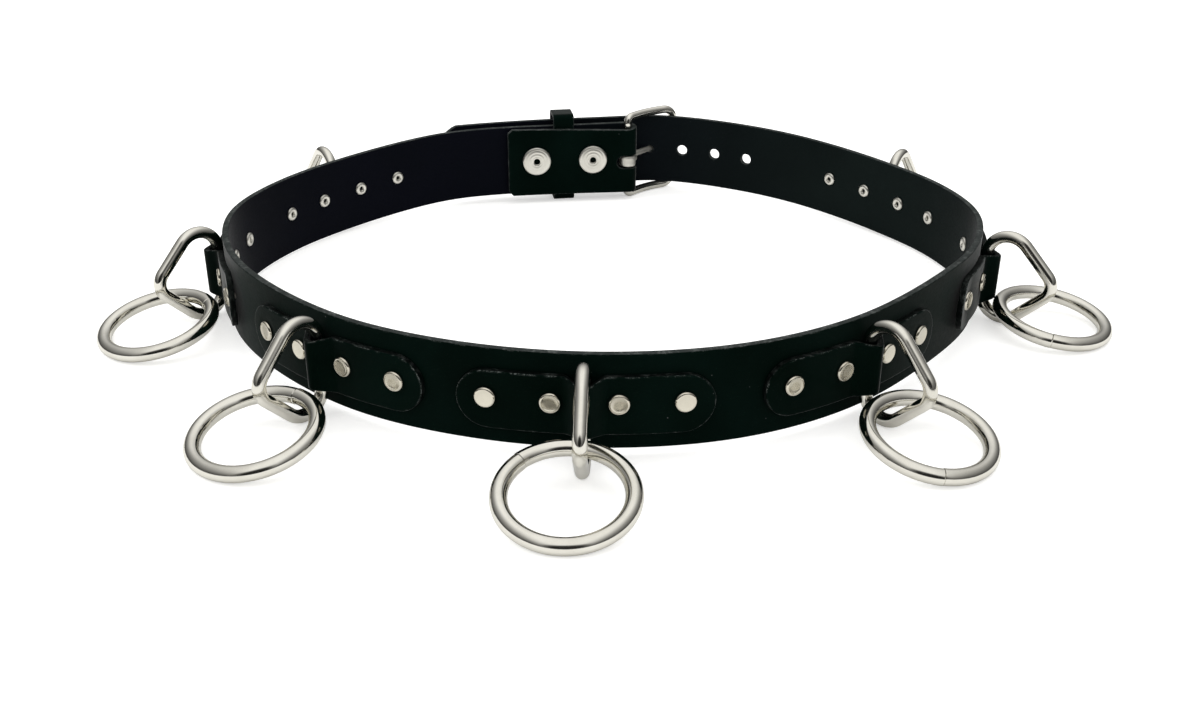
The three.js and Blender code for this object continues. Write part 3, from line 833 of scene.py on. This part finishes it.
def d_ring_line():
    """Middle line of a D-ring in even steps, x out from the strap and y up."""
    centre = np.array([D_BEND, D_HALF - D_BEND])
    point = np.array([D_REACH - D_APEX, 0.0])
    arm = point - centre
    normal = math.degrees(math.atan2(arm[1], arm[0])) + 90
    normal -= math.degrees(math.asin((D_BEND - D_APEX) / np.linalg.norm(arm)))

    def arc(middle, radius, start, stop):
        angle = np.radians(np.linspace(start, stop, D_ARC_POINTS))
        return middle + radius * np.stack([np.cos(angle), np.sin(angle)], 1)

    low = centre * (1, -1)
    rows = np.concatenate([
        arc(centre, D_BEND, 180, normal),
        arc(point, D_APEX, normal, -normal),
        arc(low, D_BEND, -normal, -180),
        [[0.0, centre[1]]],
    ])
    marks = lengths(rows)
    return at_lengths(np.linspace(0, marks[-1], D_STEPS + 1)[:-1], marks, rows)


def turned_about_up(points, degrees):
    angle = math.radians(degrees)
    c, s = math.cos(angle), math.sin(angle)
    x, y, z = points.T
    return np.stack([x * c - y * s, x * s + y * c, z], 1)


def bar_place(station):
    """Place of the middle of a D-ring's bar."""
    return basis(FRONT_AT - station[0], D_HEIGHT, THICK / 2 + GAP + D_WIRE / 2, absolute=True)


def d_ring(number, station):
    line = d_ring_line()
    path = np.stack([0 * line[:, 0], line[:, 0], line[:, 1]], 1)
    points, faces = wire_loop(path, SIDEWAYS, D_WIRE / 2, WIRE_SIDES)
    points = placed(turned_about_up(points, station[1]), bar_place(station))
    obj = make(f"d_ring_{number}_look", points, faces, [NICKEL])
    dress(obj, "nickel", f"d_ring_{number}")


def o_ring(number, station):
    """Round ring whose two ends meet in a butt seam that doesn't quite close."""
    _, swing, ring_out, ring_side, tilt, seam = station
    evenly = np.linspace(O_FROM, O_TO, O_POINTS)
    angle = np.radians(seam + np.concatenate([SEAM_POINTS, evenly]))
    radii = np.full(len(angle), O_WIRE / 2)
    radii[3:7] *= SEAM_RADII
    turn = np.degrees(angle) - seam
    offset = np.where(turn > 180, SEAM_STEP, 0.0)
    offset[:5] = SEAM_STEP
    offset *= np.clip(1 - np.abs(((turn + 180) % 360) - 180) / SEAM_FADE, 0, 1)
    radius = O_RADIUS + offset
    path = np.stack([radius * np.cos(angle), radius * np.sin(angle), 0 * angle], 1)
    points, faces = wire_loop(path, UP, radii, WIRE_SIDES)
    lean = math.radians(tilt)
    c, s = math.cos(lean), math.sin(lean)
    x, y, z = points.T
    y, z = y * c + z * s, z * c - y * s
    height = O_WIRE / 2 + O_RADIUS * s - D_HEIGHT
    points = np.stack([x + ring_side, y + ring_out, z + height], 1)
    points = placed(turned_about_up(points, swing), bar_place(station))
    obj = make(f"o_ring_{number}_look", points, faces, [NICKEL], sharp=60)
    dress(obj, "nickel", f"o_ring_{number}")


# Fasteners

# A rivet: its cap's rim over the strap, its sides, the first band of its profile that is
# shank and back, and how many of the last bands, at the bottom of the back's hole, are painted
# shade
RIVET_RIM, RIVET_SIDES, SHANK_FROM, RIVET_SHADE_BANDS = 2.86, 36, 11, 4
# A snap: sides of cap and stud, how many of the first bands, inside its centre hole, are
# painted shade, and how far to each side its seat follows the folded end
SNAP_SIDES, STUD_SIDES, SNAP_SHADE_BANDS, SNAP_SPAN = 72, 48, 2, 4.0


def rivet(name, at):
    """Flat-domed cap outside, shank, and a small tubular back inside."""
    cap, back = RIVET_RIM, -THICK
    profile = [
        (0, cap + 1.36), (1.5, cap + 1.38), (2.8, cap + 1.42), (3.15, cap + 1.52),
        (3.5, cap + 1.55), (3.85, cap + 1.42), (4.15, cap + 1.1), (4.32, cap + 0.7),
        (4.36, cap + 0.3), (4.25, cap), (3.8, cap - 0.2), (1.3, cap - 0.2),
        (1.3, back), (3.4, back), (3.52, back - 0.25), (3.42, back - 0.7), (3.05, back - 1.1),
        (2.5, back - 1.32), (1.8, back - 1.28), (1.25, back - 1.05), (1.0, back - 0.6),
        (0.92, back + 0.5), (0.62, back + 0.5), (0.55, back), (0.3, back - 0.12), (0, back - 0.15),
    ]
    points, faces = lathe(profile, RIVET_SIDES)
    place = basis(FRONT_AT - at, RIVET_HEIGHT, THICK / 2)
    bands = np.arange(len(profile) - 1)
    # The last bands, at the bottom of the back's hole, take the painted shade.
    kinds = np.where(bands >= len(bands) - RIVET_SHADE_BANDS, 2, np.where(bands >= SHANK_FROM, 1, 0))
    kinds = np.repeat(kinds, RIVET_SIDES)
    metals = [NICKEL_SMALL, NICKEL_HAZY, HOLE_SHADE]
    obj = make(f"{name}_look", placed(points, place), faces, metals, kinds, sharp=55)
    dress(obj, "nickel", name)


def fold_place(from_bar):
    """Origin on the folded end's visible face and axes whose second one leaves it."""
    span = np.array([-SNAP_SPAN, 0.0, SNAP_SPAN])
    ends, sides = on_strap(LENGTH + BEND + from_bar + span)
    ahead = ends[2] - ends[0]
    ahead[2] = 0
    ahead /= np.linalg.norm(ahead)
    out = np.array([-ahead[1], ahead[0], 0])
    if out @ sides[1] < 0:
        out = -out
    origin = ends[1] + out * THICK / 2
    origin[2] = HEEL[2] + SNAP_HEIGHT
    return origin, np.stack([np.cross(out, UP), out, UP])


def snap(number, from_bar):
    """Large cap with turned rings round a centre hole, and its stud between the layers."""
    cap = [
        (0, -0.5), (1.55, -0.5), (1.6, 1.15), (1.75, 1.62), (2.1, 1.84), (2.6, 1.9),
        (2.85, 1.83), (3.1, 1.83), (3.35, 1.91), (4.3, 1.9), (4.55, 1.82), (4.85, 1.81),
        (5.1, 1.86), (6.2, 1.78), (6.45, 1.69), (6.8, 1.67), (7.1, 1.68), (7.85, 1.46),
        (8.2, 0.98), (8.3, 0.4), (8.15, -0.15), (6.0, -0.25), (0, -0.6),
    ]
    points, faces = lathe(cap, SNAP_SIDES)
    parts = [(placed(points, fold_place(from_bar)), faces)]
    half, flap = THICK / 2, float(fold_offset(from_bar))
    stud = [
        (0, half + GAP + 1.1), (4.3, half + GAP + 1.1), (4.9, half + GAP + 0.8), (5, half + 0.05),
        (2.2, half), (2.2, -half), (4.7, -half - 0.1), (5, -half - 0.4), (5, -flap + half + 0.8),
        (4.6, -flap + half + 0.5), (0, -flap + half + 0.5),
    ]
    points, faces = lathe(stud, STUD_SIDES)
    parts.append((placed(points, basis(LENGTH - from_bar, SNAP_HEIGHT, 0)), faces))
    points, faces = joined(parts)
    # The first bands, inside the cap's centre hole, take the painted shade.
    kinds = [1 if i < SNAP_SHADE_BANDS * SNAP_SIDES else 0 for i in range(len(faces))]
    obj = make(f"snap_{number}_look", points, faces, [NICKEL_HAZY, HOLE_SHADE], kinds, sharp=42)
    dress(obj, "nickel", f"snap_{number}")


# Keeper, frame and prong

TIP_STEP = 0.5
# How much of its rounding the keeper's cut edge takes in
CUT_SHARE = 0.6
# The frame's wire thickens to its rails from this far past the heel bar, or up and down
# from its middle, each over a length of its own
RAIL_FROM, RAIL_EASE, FOLD_HALF, FOLD_EASE = 1, 4, 17, 1.2
# The prong's collar round the heel bar, and the ball that leads over to its shaft
COLLAR = {"wall": 2.8, "half": 3.3, "round": 1.25, "sides": 48}
SHOULDER = {"radius": 3.0, "along": 4.8, "points": 13, "sides": 24}
# Where the shaft starts from the bar's middle: towards the hole, out of the strap, up
SHAFT_START = (2.6, 2.4, 1.2)
# How far it goes straight past the hole, its middle over its rest, how far past the bar
PAST_HOLE, OVER_BAR, PAST_BAR = 4.4, 1.6, 3.5
SHAFT_STEPS, SHAFT_SIDES = 110, 24
# Its radius and more at its root, and its blunt end, with places as shares of its length
SHAFT_RADIUS, ROOT_EXTRA, ROOT_SHARE = 1.55, 0.25, 0.3
BLUNT_FROM, BLUNT_SHARE, BLUNTNESS, LEAST = 0.955, 0.045, 0.9, 0.02
VOXEL, EASE_STEPS, EASE_FACTOR = 0.2, 8, 0.5


def tip_beside(point, out):
    """How far outside the strap's middle line that of its tip runs, at the same place."""
    ends, _, _ = on_route(np.arange(0, PRONG_AT, TIP_STEP))
    across = (ends - point) * (1, 1, 0)
    away = across @ out
    near = np.linalg.norm(across, axis=1) < np.abs(away) + KEEPER["width"] / 2
    return away[near].max()


def keeper():
    point, along, out = on_route(LENGTH - KEEPER["from_bar"])
    wall, half = KEEPER["thick"], KEEPER["width"] / 2
    inner = -THICK / 2 - GAP - wall
    outer = tip_beside(point, out) + THICK / 2 + GAP + wall
    path, normals = rounded_path(
        inner + wall / 2, outer - wall / 2, wall / 2, KEEPER["height"] - wall / 2,
        KEEPER["corner"], arc_steps=8, straight_step=1.6)
    section, _ = rounded_path(
        -wall / 2, wall / 2, -half, half, KEEPER["round"], arc_steps=4, straight_step=1.5)
    rows = np.array([(wide, x + nx * thick, y + ny * thick)
                     for (x, y), (nx, ny) in zip(path, normals) for thick, wide in section])
    points = placed(rows, (point * (1, 1, 0), np.stack([along, out, UP])))
    thick, wide = ((section + np.roll(section, -1, 0)) / 2).T
    at_edge = np.abs(wide) > half - KEEPER["round"] * CUT_SHARE
    bands = np.where(at_edge, ON_CUT, np.where(thick > 0, ON_GRAIN, ON_FLESH))
    faces, kinds = grid_faces(len(path), len(section)), np.tile(bands, len(path))
    obj = make("keeper_look", points, faces, [STRAP_GRAIN, FLESH, CUT], kinds)
    set_rim(obj, points, rim_at(half - np.abs(rows[:, 0])))
    dress(obj, "strap_leather", "keeper")


ANGLE = math.radians(FRAME["angle"])
FRAME_OUT = np.array([math.cos(ANGLE), math.sin(ANGLE), 0.0])
FRAME_SIDE = np.array([-math.sin(ANGLE), math.cos(ANGLE), 0.0])


def buckle_frame():
    half = FRAME["height"] / 2 - FRAME["rail"]
    path, _ = rounded_path(0, FRAME["length"], -half, half, FRAME["heel"],
                           arc_steps=12, straight_step=0.8, far_radius=FRAME["free"])
    bow = FRAME["bow"] * np.sin(math.pi * path[:, 0] / FRAME["length"])
    line = np.stack([bow, path[:, 0], path[:, 1]], 1)
    thin = FRAME["wire"] / 2
    past_heel = (path[:, 0] - RAIL_FROM) / RAIL_EASE
    past_fold = (np.abs(path[:, 1]) - FOLD_HALF) / FOLD_EASE
    share = np.clip(np.maximum(past_heel, past_fold), 0, 1)
    radii = thin + (FRAME["rail"] - thin) * share
    points, faces = wire_loop(line, SIDEWAYS, radii, WIRE_SIDES)
    origin = np.array([BAR[0], BAR[1], FRAME["height"] / 2])
    points = placed(points, (origin, np.stack([FRAME_SIDE, FRAME_OUT, -UP])))
    obj = make("buckle_frame_look", points, faces, [NICKEL])
    dress(obj, "nickel", "buckle_frame")


def shaft_wire(line, radii, sides):
    """Open wire with closed ends."""
    ahead = unit(np.gradient(line, axis=0))
    side = unit(np.cross(ahead, UP))
    points = skin(line, side, np.cross(side, ahead), radii, sides)
    return points, tube_faces(len(line), sides)


def prong():
    """Rolled hook round the heel bar that runs on as a tapering shaft to the free bar."""
    bore = FRAME["wire"] / 2 + GAP
    middle = np.array([BAR[0], BAR[1], HEEL[2] + SLOT_HEIGHT])
    section, _ = rounded_path(bore, bore + COLLAR["wall"], -COLLAR["half"], COLLAR["half"],
                              COLLAR["round"], arc_steps=5, straight_step=0.6)
    collar, _ = lathe(section, COLLAR["sides"])
    collar = collar[:, [0, 2, 1]] + middle
    collar_faces = grid_faces(len(section), COLLAR["sides"])

    through, _, _ = on_route(PRONG_AT)
    through[2] += WIDTH / 2
    free_bar = BAR + FRAME_OUT * FRAME["length"]
    free_bar[2] = FRAME["height"] / 2
    over = free_bar + FRAME_SIDE * (FRAME["rail"] + GAP + OVER_BAR)
    lead = (through - middle) / np.linalg.norm(through - middle)
    ahead, outwards, above = SHAFT_START
    start = middle + lead * ahead + HEEL_OUT * outwards + UP * above
    past = [through + lead * PAST_HOLE, over, over + FRAME_OUT * PAST_BAR]
    line = spline([start, through, *past], SHAFT_STEPS)
    share = np.linspace(0, 1, len(line))
    radii = SHAFT_RADIUS + ROOT_EXTRA * np.clip(1 - share / ROOT_SHARE, 0, 1)
    blunt = ((share - BLUNT_FROM) / BLUNT_SHARE).clip(0, 1) ** 2 * BLUNTNESS
    radii = radii * np.sqrt(np.clip(1 - blunt, LEAST, 1))
    turn = np.linspace(0, math.pi, SHOULDER["points"])
    ball = SHOULDER["radius"] * np.stack([np.sin(turn), np.cos(turn)], 1)
    shoulder, shoulder_faces = lathe(ball, SHOULDER["sides"])
    shoulder = shoulder + middle + lead * SHOULDER["along"]
    parts = [(collar, collar_faces), (shoulder, shoulder_faces),
             shaft_wire(line, radii, SHAFT_SIDES)]
    raw = scratch_object("prong_raw", *joined(parts))
    melt = raw.modifiers.new("melt", "REMESH")
    melt.mode, melt.voxel_size = "VOXEL", VOXEL
    ease = raw.modifiers.new("ease", "SMOOTH")
    ease.iterations, ease.factor = EASE_STEPS, EASE_FACTOR
    points, faces, _ = worked_out(raw)
    discard(raw)
    obj = make("buckle_prong_look", points, faces, [NICKEL_SATIN], sharp=70)
    dress(obj, "nickel", "buckle_prong")


strap()
keeper()
buckle_frame()
prong()
for number, from_bar in enumerate(SNAPS_FROM_BAR, 1):
    snap(number, from_bar)
for number, station in enumerate(STATIONS, 1):
    patch(number, station)
    d_ring(number, station)
    o_ring(number, station)
    for place, spot in enumerate(RIVET_SPOTS, 1):
        rivet(f"rivet_{number}_{place}", station[0] + spot)


# Floor, light and camera

FLOOR_HALF, FLOOR_GLOW = 6, 0.55
FLOOR_TINTS = ((0.80, 0.80, 0.795), (0.82, 0.82, 0.815))
# What polished metal mirrors of the room: its level at the horizon and overhead, the share
# of it to the left and right and in the dark place, and where that is
HORIZON, OVERHEAD, AT_SIDES, DARKEST = 0.16, 1.06, 0.42, 0.04
DARK_TOWARDS = (0.0, -0.94, 0.34)
ROOM_LEVEL, ROOM_TINT = 1.12, (1.0, 0.995, 0.985, 1)
# The photograph's camera: angles in degrees, place in millimetres in the belt's plan
PITCH, ROLL = 25.97, 0.29
CAMERA_AT = (0.0, -587.1, 250.5)
FOCAL_PIXELS, PHOTO_PIXELS, SENSOR = 1276.1, 1200, 36


def floor():
    """Plain pale paper that also glows a little towards the camera."""
    sh = Shader("floor_paper")
    tint = sh.mix(sh.remap(sh.noise(3, 2), 0.3, 0.7), *FLOOR_TINTS)
    seen = sh.node("LightPath", {}).outputs["Is Camera Ray"]
    material = sh.finish(Base_Color=tint, Roughness=0.9, Specular_IOR_Level=0.1,
                         Emission_Color=tint, Emission_Strength=sh.times(seen, FLOOR_GLOW))
    mesh = bpy.data.meshes.new("floor")
    h = FLOOR_HALF
    mesh.from_pydata([(-h, -h, 0), (h, -h, 0), (h, h, 0), (-h, h, 0)], [], [(0, 1, 2, 3)])
    mesh.materials.append(material)
    linked("floor", mesh)


def soft_light(name, place, width, depth, power):
    """Wide lamp aimed at the belt, unseen in the metal."""
    data = bpy.data.lights.new(name, "AREA")
    data.shape, data.size, data.size_y, data.energy = "RECTANGLE", width, depth, power
    obj = linked(name, data)
    obj.location = place
    obj.rotation_euler = (-Vector(place)).to_track_quat("-Z", "Y").to_euler()
    obj.visible_glossy = False


def studio():
    """Pale room. What polished metal mirrors of it grows from grey at the horizon to bright
    overhead, is dimmer to the left and right, and has one soft dark place low in front."""
    world = bpy.data.worlds.new("studio")
    world.use_nodes = True
    room = Nodes(world.node_tree)
    soft = {"interpolation_type": "SMOOTHSTEP"}
    where = room.node("TexCoord", {}).outputs["Generated"]
    across, _, height = room.node("SeparateXYZ", {0: where}).outputs
    facing = room.node("VectorMath", {0: where, 1: DARK_TOWARDS}, operation="DOT_PRODUCT")
    bright = room.remap(height, 0.0, 0.95, HORIZON, OVERHEAD, **soft)
    walls = room.remap(room.math("ABSOLUTE", across), 0.20, 0.85, 1.0, AT_SIDES, **soft)
    shade = room.remap(facing.outputs["Value"], 0.84, 0.965, 1.0, DARKEST, **soft)
    mirrored = room.math("MULTIPLY", room.math("MULTIPLY", bright, walls), shade)
    is_mirror = room.node("LightPath", {}).outputs["Is Glossy Ray"]
    level = room.node("Mix", {"Factor": is_mirror, "A": ROOM_LEVEL, "B": mirrored}).outputs[0]
    room.set(room.tree.nodes["Background"], {"Strength": level, "Color": ROOM_TINT})
    bpy.context.scene.world = world


def camera():
    """Camera at the photograph's angle: above the front, tipped down by PITCH."""
    pitch, roll = math.radians(PITCH), math.radians(ROLL)
    forward = np.array([0, math.cos(pitch), -math.sin(pitch)])
    up = np.array([0, math.sin(pitch), math.cos(pitch)])
    c, s = math.cos(roll), math.sin(roll)
    axes = np.stack([c * SIDEWAYS + s * up, c * up - s * SIDEWAYS, -forward], 1)
    data = bpy.data.cameras.new("camera")
    data.sensor_width = SENSOR
    data.lens = FOCAL_PIXELS / PHOTO_PIXELS * SENSOR
    data.clip_start, data.clip_end = 0.01, 40
    matrix = Matrix([list(row) for row in axes]).to_4x4()
    matrix.translation = Vector((np.array(CAMERA_AT) + SHIFT) * MM)
    obj = linked("camera", data)
    obj.matrix_world = matrix
    bpy.context.scene.camera = obj


floor()
studio()
soft_light("overhead", (0.1, 0.3, 1.9), width=2.2, depth=1.8, power=10)
soft_light("left", (-1.5, -0.2, 1.0), width=0.9, depth=1.2, power=6)
camera()
bpy.context.scene.view_settings.view_transform = "Standard"
bpy.context.scene.view_settings.look = "None"
